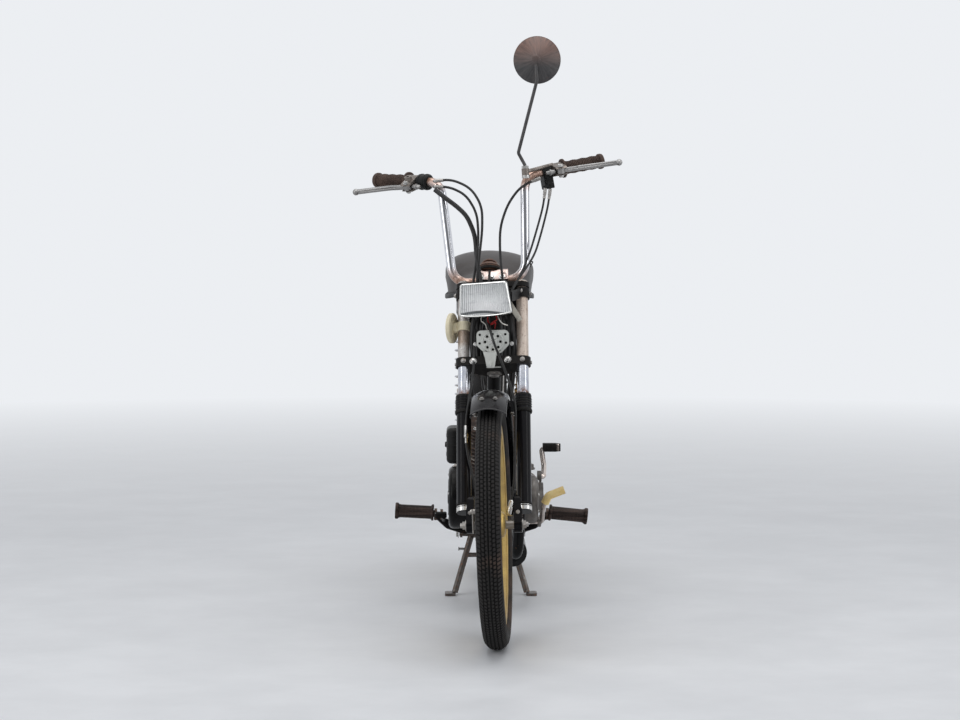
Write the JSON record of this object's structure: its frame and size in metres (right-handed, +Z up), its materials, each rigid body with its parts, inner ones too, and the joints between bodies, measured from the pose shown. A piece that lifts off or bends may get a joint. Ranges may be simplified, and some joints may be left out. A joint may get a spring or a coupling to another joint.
{
  "type": "moped",
  "caption": "Small geared moped with high swept handlebar, cast wheels, long step-up saddle, open two-stroke engine and a centre stand.",
  "frame": {"origin": "on the floor below the middle of the vehicle's box", "axes": "+Z up, +Y towards the rear of the vehicle, +X towards the rider's left; the front wheel is at -Y"},
  "size_m": [0.6511, 1.7526, 1.4185],
  "materials": {
    "black_paint": "gloss, scuffed",
    "chrome": "polished, pitted",
    "dull_steel": "dull",
    "cast_alloy": "cast, oxidised",
    "rusty_iron": "rough, rusty",
    "rusty_steel": "rusty",
    "black_plastic": "matt",
    "aged_rubber": "matt, faded",
    "yellow_rubber": "matt",
    "seat_vinyl": "satin, padded",
    "red_lens": "gloss",
    "lamp_glass": "ribbed, clear",
    "horn_grey": "satin",
    "cream_plastic": "aged",
    "mirror_back": "satin, rusty",
    "tyre": "matt",
    "cable_sheath": "matt, aged",
    "gold_alloy": "satin gold"
  },
  "bodies": {
    "frame": {"main_frame": "black_paint", "seat_frame": "black_paint", "swingarm": "black_paint", "rear_shocks": "chrome", "rear_axle": "dull_steel", "rear_brake_plate": "cast_alloy", "crankcase": "cast_alloy", "clutch_cover": "cast_alloy", "magneto_cover": "black_paint", "cylinder": "rusty_iron", "carburettor": "cast_alloy", "air_box": "black_plastic", "exhaust": "black_paint", "chain": "rusty_steel", "chain_guard": "black_paint", "footpeg_bar": "black_paint", "peg_rubbers": "aged_rubber", "kick_lever": "chrome", "gear_lever": "dull_steel", "gear_rubber": "yellow_rubber", "fuel_tank": "black_paint", "seat": "seat_vinyl", "rear_mudguard": "black_paint", "tail_lamp": "red_lens", "frame_cables": "cable_sheath"},
    "fork": {"lower_yoke": "black_paint", "top_yoke": "cast_alloy", "stanchions": "chrome", "fork_legs": "black_paint", "front_axle": "dull_steel", "front_brake_plate": "cast_alloy", "front_mudguard": "black_paint", "headlamp_shell": "black_plastic", "headlamp_lens": "lamp_glass", "headlamp_bracket": "cast_alloy", "horn": "horn_grey", "disc_holder": "cream_plastic", "handlebar": "chrome", "grips": "aged_rubber", "lever_perches": "dull_steel", "levers": "cast_alloy", "bar_housings": "black_plastic", "speedometer": "rusty_steel", "mirror": "mirror_back", "fork_cables": "cable_sheath"},
    "front_wheel": {"front_tyre": "tyre", "front_rim": "gold_alloy"},
    "rear_wheel": {"rear_tyre": "tyre", "rear_rim": "gold_alloy", "rear_sprocket": "rusty_steel"},
    "stand": {"centre_stand": "rusty_steel"}
  },
  "joints": [
    {"name": "steering", "type": "hinge", "parent": "frame", "child": "fork", "pos_m": [0.012, -0.3393, 0.71903], "axis": [0, 0.4384, 0.8988], "range_deg": [-36.5, 47.5]},
    {"name": "front_wheel_spin", "type": "hinge", "parent": "fork", "child": "front_wheel", "pos_m": [0.00923, -0.59491, 0.28546], "axis": [0.9976, -0.0627, 0.0306], "continuous": true},
    {"name": "rear_wheel_spin", "type": "hinge", "parent": "frame", "child": "rear_wheel", "pos_m": [0.012, 0.565, 0.2975], "axis": [1, 0, 0], "continuous": true},
    {"name": "centre_stand", "type": "hinge", "parent": "frame", "child": "stand", "pos_m": [0.012, 0.235, 0.156], "axis": [1, 0, 0], "range_deg": [0, 82]}
  ]
}
